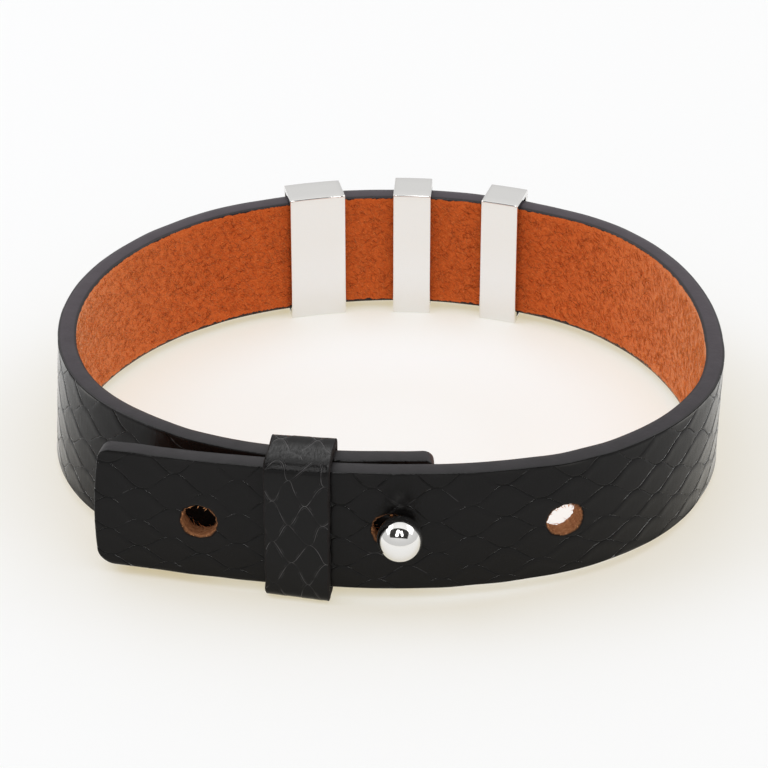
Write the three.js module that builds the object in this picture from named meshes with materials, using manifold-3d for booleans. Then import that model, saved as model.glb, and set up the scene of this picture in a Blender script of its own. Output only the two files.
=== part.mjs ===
// An identity bracelet: one strip of leather wound once round the wrist, its free end lying over
// its own start, held by a leather keeper and by a ball stud in one of three punched holes. Three
// bare metal sliders, short pieces of rectangular tube, sit on the strip at the back of the wrist.
//
// Millimetres, +Z up. The bracelet stands on edge, as it does on a table, with the sliders at the
// back (+Y) and the stud at the front (-Y). The origin is under the middle of its bounding box.
import * as THREE from "three";
import { mergeVertices } from "three/addons/utils/BufferGeometryUtils.js";
import Module from "manifold-3d";

// ---- Driving dimensions ----------------------------------------------------------------------
const STRAP = { width: 12, thickness: 1.7, chamfer: 0.2, tipCorner: 1.4, step: 2 };
const MID_HEIGHT = { back: 6.7, front: 6.9 }; // of the strap: the keeper lifts its front
const PUNCHED_RADIUS = 1.6; // of the three holes in the outer layer
const STUD = {
  ball: 2, // radius of the ball
  stand: 1.98, // from the leather's face out to the ball's centre
  neck: 0.6, // radius of the neck that passes through both layers
  neckHole: 0.85,
  plate: { radius: 2.2, thickness: 0.7, clearance: 0.2 },
  up: 0.65,
};
const SLIDER = { height: 13.4, bore: 12.5, corner: 0.2 };
const KEEPER = { width: 5.8, wall: 0.7, clearance: 0.2, corner: 0.9, boreHeight: 12.3 };
const BACK_RADIUS = 36.4; // the true arc that the sliders move on
const BACK_Y = 26.3; // the strap's middle layer at the middle of the back
const FRONT_Y = -23; // and at the stud

// The strip's route seen from above, clockwise from its hidden inner end to its visible tip.
// radius is that of the strip's middle layer, and Infinity is a straight stretch.
const ROUTE = [
  { name: "inner end", length: 3.7, radius: Infinity },
  { name: "under the stud", length: 12, radius: 48 },
  { name: "under the tip", length: 12, radius: 28.3 },
  { name: "front left", length: 16, radius: 19.2 },
  { name: "left", length: 14, radius: 23.3 },
  { name: "back left", length: 17, radius: 26.7 },
  { name: "back, left half", length: 15, radius: BACK_RADIUS },
  { name: "back, right half", length: 16, radius: BACK_RADIUS },
  { name: "back right", length: 16, radius: 23 },
  { name: "right", length: 14, radius: 31.4 },
  { name: "front right", length: 16, radius: 20.3 },
  { name: "right hole", length: 12, radius: 23.1 },
  { name: "stud", length: 16, radius: 49 },
  { name: "keeper and left hole", length: 16, radius: 110 },
  { name: "tip", length: 7.4, radius: Infinity },
];
const FRONT_OF_BACK = 7; // rows of ROUTE that come before the middle of the back

// How far the strip leans out of the vertical, by stations along it counted from the middle of
// the back. A positive lean carries its lower edge outwards.
const LEAN = [
  { at: -89.7, degrees: 1 },
  { at: -75, degrees: 1 },
  { at: -62, degrees: 4 },
  { at: -46, degrees: 3.5 },
  { at: -32, degrees: 0 },
  { at: -20, degrees: -1.5 },
  { at: -10, degrees: 0 },
  { at: 17, degrees: 0 },
  { at: 24, degrees: -3 },
  { at: 34, degrees: -2.5 },
  { at: 46, degrees: 0 },
  { at: 54, degrees: -3 },
  { at: 62, degrees: -2.5 },
  { at: 72, degrees: -2.5 },
  { at: 82, degrees: 0.5 },
  { at: 96, degrees: 1.5 },
  { at: 113.4, degrees: 1 },
];

// Stations of what sits on the strip, from the middle of the back.
const HOLES = [
  { name: "right", at: 72.1, up: -0.15 },
  { name: "stud", at: 87.25, up: 0.2 },
  { name: "left", at: 103.9, up: -0.3 },
];
const STUD_AT = 86.45; // pulled to one side of its hole, as the worn strap pulls it
const KEEPER_AT = 95.2;
const SLIDERS = [
  { name: "slider_wide", at: -7.6, width: 5.5, depth: 3.4, bore: 2.3 },
  { name: "slider_middle", at: 2.2, width: 3.7, depth: 3.8, bore: 2.3 },
  { name: "slider_right", at: 11.4, width: 3.7, depth: 3.7, bore: 2.3 },
];

// ---- The route -------------------------------------------------------------------------------
const UP = new THREE.Vector3(0, 0, 1);
const START = -ROUTE.slice(0, FRONT_OF_BACK).reduce((sum, row) => sum + row.length, 0);
const END = START + ROUTE.reduce((sum, row) => sum + row.length, 0);

// Walks a distance along an arc that turns clockwise from a place and a heading.
function walk({ x, y, heading }, length, radius) {
  const turn = length / radius;
  const chord = turn === 0 ? length : 2 * radius * Math.sin(turn / 2);
  const along = heading - turn / 2;
  return {
    x: x + chord * Math.cos(along),
    y: y + chord * Math.sin(along),
    heading: heading - turn,
  };
}

// The place and heading at a station. The middle of the back is the known place, so the rows on
// either side of it are walked outwards from there, with the left ones walked backwards.
function placeAt(station) {
  const rows = station < 0 ? ROUTE.slice(0, FRONT_OF_BACK).reverse() : ROUTE.slice(FRONT_OF_BACK);
  const way = Math.sign(station);
  let left = Math.abs(station);
  let place = { x: 0, y: BACK_Y, heading: 0 };
  for (const row of rows) {
    const length = Math.min(left, row.length);
    place = walk(place, way * length, row.radius);
    left -= length;
  }
  return place;
}

function leanAt(station) {
  const next = Math.max(1, LEAN.findIndex((row) => row.at >= station));
  const [a, b] = [LEAN[next - 1], LEAN[next]];
  const share = THREE.MathUtils.clamp((station - a.at) / (b.at - a.at), 0, 1);
  return THREE.MathUtils.degToRad(THREE.MathUtils.lerp(a.degrees, b.degrees, share));
}

// The frame at a station: x along the strip, y out of its outer face, z up its leaning width.
function frameAt(station, midHeight) {
  const { x, y, heading } = placeAt(station);
  const forwards = (BACK_Y - y) / (BACK_Y - FRONT_Y);
  const z = midHeight ?? THREE.MathUtils.lerp(MID_HEIGHT.back, MID_HEIGHT.front, forwards);
  const along = new THREE.Vector3(Math.cos(heading), Math.sin(heading), 0);
  const flatOut = new THREE.Vector3(-Math.sin(heading), Math.cos(heading), 0);
  const lean = leanAt(station);
  const out = flatOut.clone().multiplyScalar(Math.cos(lean)).addScaledVector(UP, Math.sin(lean));
  const up = UP.clone().multiplyScalar(Math.cos(lean)).addScaledVector(flatOut, -Math.sin(lean));
  return new THREE.Matrix4().makeBasis(along, out, up).setPosition(x, y, z);
}

// ---- Solids ----------------------------------------------------------------------------------
const wasm = await Module();
wasm.setup();

function toSolid(geometry) {
  const bare = geometry.clone();
  bare.deleteAttribute("normal");
  bare.deleteAttribute("uv");
  const merged = mergeVertices(bare, 1e-4);
  const mesh = new wasm.Mesh({
    numProp: 3,
    vertProperties: new Float32Array(merged.attributes.position.array),
    triVerts: new Uint32Array(merged.index.array),
  });
  return new wasm.Manifold(mesh);
}

function toGeometry(solid) {
  const { vertProperties, triVerts } = solid.getMesh();
  const geometry = new THREE.BufferGeometry();
  geometry.setAttribute("position", new THREE.BufferAttribute(vertProperties, 3));
  geometry.setIndex(new THREE.BufferAttribute(triVerts, 1));
  geometry.computeVertexNormals();
  return geometry;
}

// A rectangle with its corners rounded, as a closed path centred on the origin.
function roundedRectangle(width, height, radius, PathType) {
  const path = new PathType();
  const [w, h] = [width / 2 - radius, height / 2 - radius];
  path.absarc(w, h, radius, 0, Math.PI / 2);
  path.absarc(-w, h, radius, Math.PI / 2, Math.PI);
  path.absarc(-w, -h, radius, Math.PI, 1.5 * Math.PI);
  path.absarc(w, -h, radius, 1.5 * Math.PI, 2 * Math.PI);
  path.closePath();
  return path;
}

// A piece of rectangular tube around the strip: x along it, y through it and z up.
function rectangularTube({ width, depth, height, bore, boreHeight, corner, boreCorner, facets }) {
  const outline = roundedRectangle(depth, height, corner, THREE.Shape);
  outline.holes.push(roundedRectangle(bore, boreHeight, boreCorner, THREE.Path));
  const geometry = new THREE.ExtrudeGeometry(outline, {
    depth: width,
    bevelEnabled: false,
    curveSegments: facets,
  });
  geometry.translate(0, 0, -width / 2);
  // The outline's x and y become y and z, and the way it was extruded becomes x.
  return geometry.applyMatrix4(
    new THREE.Matrix4().makeBasis(
      new THREE.Vector3(0, 1, 0),
      new THREE.Vector3(0, 0, 1),
      new THREE.Vector3(1, 0, 0),
    ),
  );
}

// ---- The strap -------------------------------------------------------------------------------
// Both ends have round corners: the strip narrows over its last tipCorner by a quarter circle.
function halfWidthAt(station) {
  const fromEnd = Math.min(station - START, END - station, STRAP.tipCorner);
  const short = STRAP.tipCorner - fromEnd;
  const inset = STRAP.tipCorner - Math.sqrt(STRAP.tipCorner ** 2 - short ** 2);
  return STRAP.width / 2 - inset;
}

function strapStations() {
  const quarter = [0, 0.06, 0.22, 0.5, 1].map((share) => share * STRAP.tipCorner);
  const middle = END - START - 2 * STRAP.tipCorner;
  const steps = Math.ceil(middle / STRAP.step);
  const between = Array.from(
    { length: steps - 1 },
    (_, i) => START + STRAP.tipCorner + ((i + 1) * middle) / steps,
  );
  return [
    ...quarter.map((d) => START + d),
    ...between,
    ...quarter.reverse().map((d) => END - d),
  ];
}

function strapSection(station) {
  const half = halfWidthAt(station);
  const t = STRAP.thickness / 2;
  const c = STRAP.chamfer;
  return [
    [t, half - c],
    [t - c, half],
    [c - t, half],
    [-t, half - c],
    [-t, c - half],
    [c - t, -half],
    [t - c, -half],
    [t, c - half],
  ].map(([out, up]) => new THREE.Vector3(0, out, up).applyMatrix4(frameAt(station)));
}

function sweptStrip() {
  const sections = strapStations().map(strapSection);
  const sides = sections[0].length;
  const faces = [];
  for (let i = 0; i + 1 < sections.length; i++) {
    for (let j = 0; j < sides; j++) {
      const [a, b] = [i * sides + j, i * sides + ((j + 1) % sides)];
      const [c, d] = [a + sides, b + sides];
      faces.push(a, b, c, b, d, c);
    }
  }
  const last = (sections.length - 1) * sides;
  for (let j = 1; j + 1 < sides; j++) {
    faces.push(0, j + 1, j);
    faces.push(last, last + j, last + j + 1);
  }
  const geometry = new THREE.BufferGeometry().setFromPoints(sections.flat());
  return geometry.setIndex(faces);
}

// A round cutter that stands along the strip's own outward direction at a station.
function cutter(station, radius, up, inwards, outwards) {
  const geometry = new THREE.CylinderGeometry(radius, radius, outwards - inwards, 24);
  geometry.translate(0, (inwards + outwards) / 2, up);
  return toSolid(geometry.applyMatrix4(frameAt(station)));
}

function strap() {
  const through = STRAP.thickness; // past both faces of one layer, short of the other layer
  const face = STRAP.thickness / 2;
  let solid = toSolid(sweptStrip());
  for (const hole of HOLES) {
    solid = solid.subtract(cutter(hole.at, PUNCHED_RADIUS, hole.up, -face - 0.1, through));
  }
  // The neck's own hole starts between the layers and goes through the inner one only.
  const inside = -face - 2 * STRAP.thickness;
  return toGeometry(solid.subtract(cutter(STUD_AT, STUD.neckHole, STUD.up, inside, -face)));
}

// ---- The ball stud: plate, neck and ball turned in one ----------------------------------------
// The inner layer's far face lies two thicknesses and the gap between the layers below the face.
const LAYER_GAP = 0.42;

function ballStud() {
  const { ball, stand, neck, plate, up } = STUD;
  const face = STRAP.thickness / 2;
  const seat = face - 2 * STRAP.thickness - LAYER_GAP - plate.clearance;
  const centre = face + stand;
  const neckAngle = Math.asin(neck / ball);
  const profile = new THREE.Path();
  profile.moveTo(0, seat - plate.thickness);
  profile.lineTo(plate.radius, seat - plate.thickness);
  profile.lineTo(plate.radius, seat);
  profile.lineTo(neck, seat);
  profile.lineTo(neck, centre - ball * Math.cos(neckAngle));
  profile.absarc(0, centre, ball, neckAngle - Math.PI / 2, Math.PI / 2);
  const geometry = new THREE.LatheGeometry(profile.getPoints(7), 20);
  geometry.translate(0, 0, up);
  return geometry.applyMatrix4(frameAt(STUD_AT));
}

// ---- The keeper: a leather loop round both layers -----------------------------------------------
// It leans with the strap, and stands on its lowest point.
function keeper() {
  const { width, wall, clearance, corner, boreHeight } = KEEPER;
  const bore = 2 * STRAP.thickness + LAYER_GAP + 2 * clearance;
  const [depth, height] = [bore + 2 * wall, boreHeight + 2 * wall];
  const lean = leanAt(KEEPER_AT);
  const drop = (height / 2 - corner) * Math.cos(lean) + (depth / 2 - corner) * Math.sin(lean) + corner;
  const geometry = rectangularTube({
    width,
    depth,
    height,
    bore,
    boreHeight,
    corner,
    boreCorner: corner / 4,
    facets: 5,
  });
  const inwards = (STRAP.thickness + LAYER_GAP) / 2; // from the outer layer to between the two
  geometry.translate(0, -inwards, 0);
  return geometry.applyMatrix4(frameAt(KEEPER_AT, drop + inwards * Math.sin(lean)));
}

// ---- The sliders: plain rectangular tubes on the arc at the back --------------------------------
function slider({ at, width, depth, bore }) {
  const rise = BACK_RADIUS * (1 - Math.cos(width / 2 / BACK_RADIUS)); // of the arc inside the bore
  const geometry = rectangularTube({
    width,
    depth,
    height: SLIDER.height,
    bore,
    boreHeight: SLIDER.bore,
    corner: SLIDER.corner,
    boreCorner: SLIDER.corner / 2,
    facets: 2,
  });
  geometry.translate(0, -rise / 2, 0);
  return geometry.applyMatrix4(frameAt(at, SLIDER.height / 2));
}

// ---- The assembly --------------------------------------------------------------------------------
const FINISHES = {
  leather: { color: 0x232122, roughness: 0.55, metalness: 0 },
  metal: { color: 0xd8d6d2, roughness: 0.12, metalness: 1 },
};

function piece(name, geometry, finish) {
  const mesh = new THREE.Mesh(geometry, new THREE.MeshStandardMaterial(FINISHES[finish]));
  mesh.name = name;
  return mesh;
}

const bracelet = new THREE.Group();
bracelet.add(
  piece("strap", strap(), "leather"),
  piece("keeper", keeper(), "leather"),
  piece("ball_stud", ballStud(), "metal"),
  ...SLIDERS.map((row) => piece(row.name, slider(row), "metal")),
);

// The origin goes under the middle of the bounding box.
const box = new THREE.Box3().setFromObject(bracelet);
const middle = box.getCenter(new THREE.Vector3());
bracelet.position.set(-middle.x, -middle.y, -box.min.z);

export default bracelet;
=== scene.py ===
# %% [markdown]
# # A leather id bracelet with polished sliders
#
# The bracelet is one strip of black leather, pressed with a scale pattern on its outer face, with
# painted edges and rough orange suede inside. Its free end lies over its own start. A leather
# keeper and a ball stud hold the two layers together, and three bare metal sliders sit at the back.
#
# The measured solids come from the frame, and this lesson makes the surfaces that are seen.
# Work is in millimetres until a mesh is made, because leather goods are drawn in millimetres.

import math

import bmesh
import bpy
import numpy as np
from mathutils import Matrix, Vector


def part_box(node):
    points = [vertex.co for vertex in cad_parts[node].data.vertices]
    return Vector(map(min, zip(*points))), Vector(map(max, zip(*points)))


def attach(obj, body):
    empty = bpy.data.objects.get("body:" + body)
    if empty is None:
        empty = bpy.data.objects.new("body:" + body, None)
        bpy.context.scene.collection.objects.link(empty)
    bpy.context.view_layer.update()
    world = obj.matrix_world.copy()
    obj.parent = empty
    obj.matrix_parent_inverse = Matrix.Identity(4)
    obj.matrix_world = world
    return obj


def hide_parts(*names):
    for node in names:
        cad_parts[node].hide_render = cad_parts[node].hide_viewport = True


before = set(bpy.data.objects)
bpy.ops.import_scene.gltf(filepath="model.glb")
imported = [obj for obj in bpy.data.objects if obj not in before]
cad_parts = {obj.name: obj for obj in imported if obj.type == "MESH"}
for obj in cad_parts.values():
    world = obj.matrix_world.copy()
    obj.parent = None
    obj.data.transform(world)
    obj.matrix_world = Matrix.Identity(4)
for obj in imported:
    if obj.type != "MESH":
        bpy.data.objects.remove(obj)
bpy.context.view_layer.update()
MM = 0.001
scene = bpy.context.scene
print("nodes:", sorted(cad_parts))

# %% [markdown]
# ## The camera
#
# A product camera stands well back with a long lens, so that the far side of the loop is nearly as
# large as the near side. It looks down at the middle of the bracelet from the front. Three values
# place it: its angle above the floor, its distance and its lens.

# %% Camera
CAMERA = {"elevation": 32, "distance": 290, "lens": 146.3}  # degrees, then millimetres
AIM = Vector((-0.2, 0.076, 6.76))


def add_object(name, data):
    made = bpy.data.objects.new(name, data)
    scene.collection.objects.link(made)
    return made


def way_to(elevation, sideways=0):
    """The direction from the bracelet to something in front of it, at angles in degrees."""
    turn, rise = math.radians(sideways), math.radians(elevation)
    level = math.cos(rise)
    return Vector((math.sin(turn) * level, -math.cos(turn) * level, math.sin(rise)))


towards_camera = way_to(CAMERA["elevation"])
camera = add_object("camera", bpy.data.cameras.new("camera"))
camera.location = (AIM + CAMERA["distance"] * towards_camera) * MM
camera.rotation_euler = (-towards_camera).to_track_quat("-Z", "Y").to_euler()
camera.data.lens = CAMERA["lens"]
camera.data.sensor_width = 36
camera.data.clip_start = 0.01
camera.data.clip_end = 20
scene.camera = camera
print("camera at", [round(c, 4) for c in camera.location])

# %% [markdown]
# ## Wiring materials by arithmetic
#
# A material in Blender is a graph of nodes, long and hard to read when written out node by node.
# This small class wraps one socket and lets ordinary arithmetic build the Math nodes. Every other
# node comes from one method, which takes the node's type, its settings and its sockets.

# %% A socket that does arithmetic
class Wire:
    tree = None  # the node tree that is being wired

    def __init__(self, socket):
        self.socket = socket

    @classmethod
    def node(cls, kind, settings=None, sockets=None, out=0):
        made = cls.tree.nodes.new(kind)
        for name, value in (settings or {}).items():
            if name == "stops":
                cls.set_stops(made.color_ramp, value)
            else:
                setattr(made, name, value)
        for name, value in (sockets or {}).items():
            if isinstance(value, Wire):
                cls.tree.links.new(value.socket, made.inputs[name])
            else:
                made.inputs[name].default_value = value
        return None if out is None else cls(made.outputs[out])

    @staticmethod
    def set_stops(ramp, stops):
        while len(ramp.elements) < len(stops):
            ramp.elements.new(1)
        for element, (position, colour) in zip(ramp.elements, stops):
            element.position = position
            element.color = (*colour, 1)

    @classmethod
    def math(cls, operation, *values):
        return cls.node("ShaderNodeMath", {"operation": operation}, dict(enumerate(values)))

    def __add__(self, other):
        return self.math("ADD", self, other)

    def __radd__(self, other):
        return self.math("ADD", other, self)

    def __sub__(self, other):
        return self.math("SUBTRACT", self, other)

    def __rsub__(self, other):
        return self.math("SUBTRACT", other, self)

    def __mul__(self, other):
        return self.math("MULTIPLY", self, other)

    def __rmul__(self, other):
        return self.math("MULTIPLY", other, self)

    def __truediv__(self, other):
        return self.math("DIVIDE", self, other)

    def __rtruediv__(self, other):
        return self.math("DIVIDE", other, self)

    def __abs__(self):
        return self.math("ABSOLUTE", self)


print("wires ready")

# %% [markdown]
# Short helpers cover what the finishes below share. The main ones are a smooth step between two
# values, noise of a given grain, a blend of two colours, and a vector stored on the mesh that says
# where a spot lies on the flat strip before it was bent.

# %% Helpers for finishes
def step_between(low, high, value):
    """0 where value is at low, 1 where it is at high, smooth between."""
    sockets = {"Value": value, "From Min": low, "From Max": high}
    return Wire.node("ShaderNodeMapRange", {"interpolation_type": "SMOOTHSTEP"}, sockets)


def noise(vector, scale, detail=2.0, roughness=0.5):
    sockets = {"Vector": vector, "Scale": scale, "Detail": detail, "Roughness": roughness}
    return Wire.node("ShaderNodeTexNoise", None, sockets)


def blend(factor, first, second):
    """The colour first where factor is 0 and second where it is 1."""
    first, second = [c if isinstance(c, Wire) else (*c, 1) for c in (first, second)]
    return Wire.node("ShaderNodeMix", {"data_type": "RGBA"}, {0: factor, 6: first, 7: second}, 2)


def ramp(value, *stops):
    """A colour from value, by stops of (position, colour)."""
    return Wire.node("ShaderNodeValToRGB", {"stops": stops}, {0: value})


def stored(name):
    return Wire.node("ShaderNodeAttribute", {"attribute_name": name}, None, "Vector")


def parts_of(vector):
    split = Wire.node("ShaderNodeSeparateXYZ", None, {0: vector}).socket.node
    return [Wire(socket) for socket in split.outputs]


def stretched(vector, x, y, z):
    settings = {"operation": "MULTIPLY"}
    return Wire.node("ShaderNodeVectorMath", settings, {0: vector, 1: (x, y, z)})


def bumped(height, distance, strength=1.0):
    """A normal from a height of 0 to 1 that stands for distance millimetres."""
    sockets = {"Height": height, "Distance": distance * MM, "Strength": strength}
    return Wire.node("ShaderNodeBump", None, sockets)


def wire_up(owner, output, wiring):
    """Gives a material or a world the surface that wiring() returns."""
    owner.use_nodes = True
    Wire.tree = owner.node_tree
    Wire.tree.nodes.clear()
    Wire.node(output, None, {"Surface": wiring()}, None)
    print(owner.name, "has", len(Wire.tree.nodes), "nodes")
    return owner


def finish(name, wiring):
    return wire_up(bpy.data.materials.new(name), "ShaderNodeOutputMaterial", wiring)


def principled(sockets):
    return Wire.node("ShaderNodeBsdfPrincipled", None, sockets)


# %% [markdown]
# ## Floor and light
#
# Small goods are shown on a pale sheet inside a white tent, which is the world. A warm lamp under
# the sheet turns the shade close to them yellowish. It is a little stronger just inside the strap,
# where the leather would darken the floor. A large soft panel at either side gives the leather its
# sheen. Polished metal shows the room it stands in, so a wide dark screen with two bright strips
# hangs above the camera for the ball to mirror. Only gloss shows the screen and the strips.

# %% Floor
FLOOR_SIZE = 3.0
HALF_LOOP = (0.029, 0.025)  # half the width and depth inside the strap, in metres


def floor_wiring():
    """Distances run from 0 at the loop's middle to 1 at the strap."""
    place = Wire.node("ShaderNodeTexCoord", None, None, "Object")
    loop = stretched(place, 1 / HALF_LOOP[0], 1 / HALF_LOOP[1], 0.0)
    out = Wire.node("ShaderNodeVectorMath", {"operation": "LENGTH"}, {0: loop}, "Value")
    inside_loop = 1 - step_between(0.98, 1.06, out)
    near_strap = step_between(0.35, 0.85, out)
    return principled({
        "Base Color": (0.4, 0.485, 0.67, 1),
        "Roughness": 0.6,
        "Specular IOR Level": 0.1,
        "Emission Color": blend(inside_loop * near_strap, (0.84, 0.7, 0.39), (0.93, 0.83, 0.58)),
        "Emission Strength": 0.63,
    })


def sheet(name, width, height, material):
    """A flat rectangle round the origin, with its sizes in metres."""
    x, y = width / 2, height / 2
    mesh = bpy.data.meshes.new(name)
    mesh.from_pydata([(-x, -y, 0), (x, -y, 0), (x, y, 0), (-x, y, 0)], [], [(0, 1, 2, 3)])
    mesh.materials.append(material)
    flat = add_object(name, mesh)
    return flat


sheet("floor", FLOOR_SIZE, FLOOR_SIZE, finish("pale_sheet", floor_wiring))
print("floor laid")

# %% Tent and panels
TENT = {"horizon": 0.67, "overhead": 1.06}


def tent_wiring():
    height = parts_of(Wire.node("ShaderNodeTexCoord", None, None, "Generated"))[2]
    low, high = [(TENT[k],) * 3 for k in ("horizon", "overhead")]
    colour = blend(height * height, low, high)
    return Wire.node("ShaderNodeBackground", None, {"Color": colour, "Strength": 1.0})


def panel(name, at, size, power):
    """A soft rectangular light at a place in millimetres, turned towards the bracelet."""
    light = bpy.data.lights.new(name, "AREA")
    light.shape = "RECTANGLE"
    light.size = size[0] * MM
    light.size_y = size[1] * MM
    light.energy = power
    holder = add_object(name, light)
    holder.location = Vector(at) * MM
    holder.rotation_euler = (-Vector(at)).to_track_quat("-Z", "Y").to_euler()


scene.world = wire_up(bpy.data.worlds.new("tent"), "ShaderNodeOutputWorld", tent_wiring)
panel("left_panel", (-420, 60, 420), (420, 300), 0.8)
panel("right_panel", (420, 60, 420), (420, 300), 0.5)
scene.view_settings.view_transform = "Standard"


# %% Dark screen and bright strips
def screen_wiring():
    return principled({"Base Color": (0.012, 0.011, 0.01, 1), "Roughness": 0.8})


def strip_wiring():
    return Wire.node("ShaderNodeEmission", None, {"Strength": 4.5})


def hang(flat, distance, sideways, elevation):
    """Hangs a sheet so many millimetres away, turned towards the bracelet. It shows in gloss only
    and casts no shade."""
    way = way_to(elevation, sideways)
    flat.location = way * distance * MM
    flat.rotation_euler = way.to_track_quat("Z", "Y").to_euler()
    flat.visible_diffuse = False
    flat.visible_shadow = False


screen_finish = finish("dark_screen", screen_wiring)
strip_finish = finish("bright_strip", strip_wiring)
hang(sheet("screen", 0.84, 0.38, screen_finish), 430, -8, 62)
hang(sheet("strip_left", 0.09, 0.22, strip_finish), 410, -22, 60)
hang(sheet("strip_right", 0.06, 0.18, strip_finish), 410, 16, 58)

# %% [markdown]
# ## The strip's path
#
# A leather strip bends but doesn't stretch, so its path seen from above is a row of arcs that flow
# into each other, each with a length and a radius. Any spot on the strap is then three numbers: how
# far along it is, how far across, and how far out of the middle of its thickness. The table starts
# at the hidden inner end and goes clockwise to the visible tip.

# %% The table of arcs
STRAP = {"width": 12, "thickness": 1.7, "round": 0.16}
END_CORNER = {"upper": 1.0, "lower": 1.5}
STRAIGHT = math.inf
BACK_RADIUS = 36.4  # where the sliders sit
ROUTE = [  # length, radius
    ("inner end", 3.7, STRAIGHT),
    ("under the stud", 12, 48),
    ("under the tip", 12, 28.3),
    ("front left", 16, 19.2),
    ("left", 14, 23.3),
    ("back left", 17, 26.7),
    ("back, left half", 15, BACK_RADIUS),
    ("back, right half", 16, BACK_RADIUS),
    ("back right", 16, 23),
    ("right", 14, 31.4),
    ("front right", 16, 20.3),
    ("right hole", 12, 23.1),
    ("stud", 16, 49),
    ("keeper and left hole", 16, 110),
    ("tip", 7.4, STRAIGHT),
]
ROWS_BEFORE_MIDDLE = 7
BACK_Y, FRONT_Y = 26.3, -23
MID_HEIGHT = {"back": 6.7, "front": 6.9}
LEAN_AT = [-89.7, -75, -62, -46, -32, -20, -10, 17, 24, 34, 46, 54, 62, 72, 82, 96, 113.4]
LEAN = np.radians([1, 1, 4, 3.5, 0, -1.5, 0, 0, -3, -2.5, 0, -3, -2.5, -2.5, 0.5, 1.5, 1])

lengths = np.array([length for _, length, _ in ROUTE])
curls = np.array([1 / radius for _, _, radius in ROUTE])
START = -lengths[:ROWS_BEFORE_MIDDLE].sum()
END = START + lengths.sum()
knots = START + np.concatenate([[0], np.cumsum(lengths)])
turns = np.concatenate([[0], np.cumsum(lengths * curls)])
headings = turns[ROWS_BEFORE_MIDDLE] - turns


def arc_ends(x, y, heading, length, curl):
    """Where an arc that turns clockwise ends."""
    turn = length * curl
    chord = length * np.sinc(turn / 2 / np.pi)
    along = heading - turn / 2
    return x + chord * np.cos(along), y + chord * np.sin(along), heading - turn


corners = [(0.0, 0.0)]
for heading, length, curl in zip(headings, lengths, curls):
    corners.append(arc_ends(*corners[-1], heading, length, curl)[:2])
corners = np.array(corners)
corners += (0, BACK_Y) - corners[ROWS_BEFORE_MIDDLE]
print("strip of", END - START, "mm from", START, "to", END)

# %% From strip to space
CHAMFER = 0.2  # on the edges of the frame's strap
shift = np.zeros(3)  # from the path's own place to where the frame's strap stands; set below


def axes_at(station, middle_height=None):
    """Middle point, and the directions along, out and up, at each station."""
    station = np.asarray(station, float)
    row = np.clip(np.searchsorted(knots, station, "right") - 1, 0, len(ROUTE) - 1)
    x, y, heading = arc_ends(
        corners[row, 0], corners[row, 1], headings[row], station - knots[row], curls[row]
    )
    forwards = (BACK_Y - y) / (BACK_Y - FRONT_Y)
    level = MID_HEIGHT["back"] + forwards * (MID_HEIGHT["front"] - MID_HEIGHT["back"])
    z = level if middle_height is None else np.full_like(x, middle_height)
    lean = np.interp(station, LEAN_AT, LEAN)
    flat = np.stack([-np.sin(heading), np.cos(heading), 0 * x], -1)
    top = np.array([0.0, 0.0, 1.0])
    sine, cosine = np.sin(lean)[..., None], np.cos(lean)[..., None]
    along = np.stack([np.cos(heading), np.sin(heading), 0 * x], -1)
    return np.stack([x, y, z], -1) + shift, along, cosine * flat + sine * top, cosine * top - sine * flat


def on_strap(station, across, out, middle_height=None):
    """The place of a spot on the strip, in millimetres in the frame."""
    middle, _, outwards, upwards = axes_at(station, middle_height)
    return middle + outwards * np.asarray(out)[..., None] + upwards * np.asarray(across)[..., None]


trial = np.linspace(START, END, 400)
half_width, half_thickness = STRAP["width"] / 2, STRAP["thickness"] / 2
outline = np.concatenate([
    on_strap(trial, side * (half_width - CHAMFER), face)
    for side in (-1, 1)
    for face in (-half_thickness, half_thickness)
])
strap_low, strap_high = [np.array(c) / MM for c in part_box("strap")]
middle_of_box = (strap_low + strap_high) / 2
shift[:2] = (middle_of_box - (outline.min(0) + outline.max(0)) / 2)[:2]
print("the path moves by", shift.round(3))

# %% [markdown]
# ## Helpers that make meshes
#
# Everything here is a grid of rings: a strap is rings along a path, a slider is rings round a tube.
# Points and faces are arrays that Blender gets at once, which is far quicker than adding them one
# at a time. Each spot stores where it lies on the flat leather, so finishes follow the bends.

# %% Mesh helpers
def smooth(share):
    """A share from 0 to 1 that starts and ends gently."""
    return share * share * (3 - 2 * share)


def soft_noise(x, y, seed):
    """Smooth random values from -1 to 1 with about one lump for each unit of x and y."""
    size = 64
    table = np.random.default_rng(seed).uniform(-1, 1, (size, size))
    i, j = np.floor(x).astype(int), np.floor(y).astype(int)
    u, v = smooth(x - i), smooth(y - j)
    near, far = [
        table[i % size, k % size] * (1 - u) + table[(i + 1) % size, k % size] * u for k in (j, j + 1)
    ]
    return near * (1 - v) + far * v


def rows_of_three(*parts):
    return np.stack([part.ravel() for part in parts], -1)


def rings_to_quads(rings, closed_ends=False):
    """Quads between neighbouring rings, given as rows of vertex numbers."""
    here = rings if closed_ends else rings[:-1]
    upper = np.roll(rings, -1, axis=0) if closed_ends else rings[1:]
    following, upper_following = [np.roll(side, -1, axis=1) for side in (here, upper)]
    return np.stack([here, following, upper_following, upper], -1).reshape(-1, 4)


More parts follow.
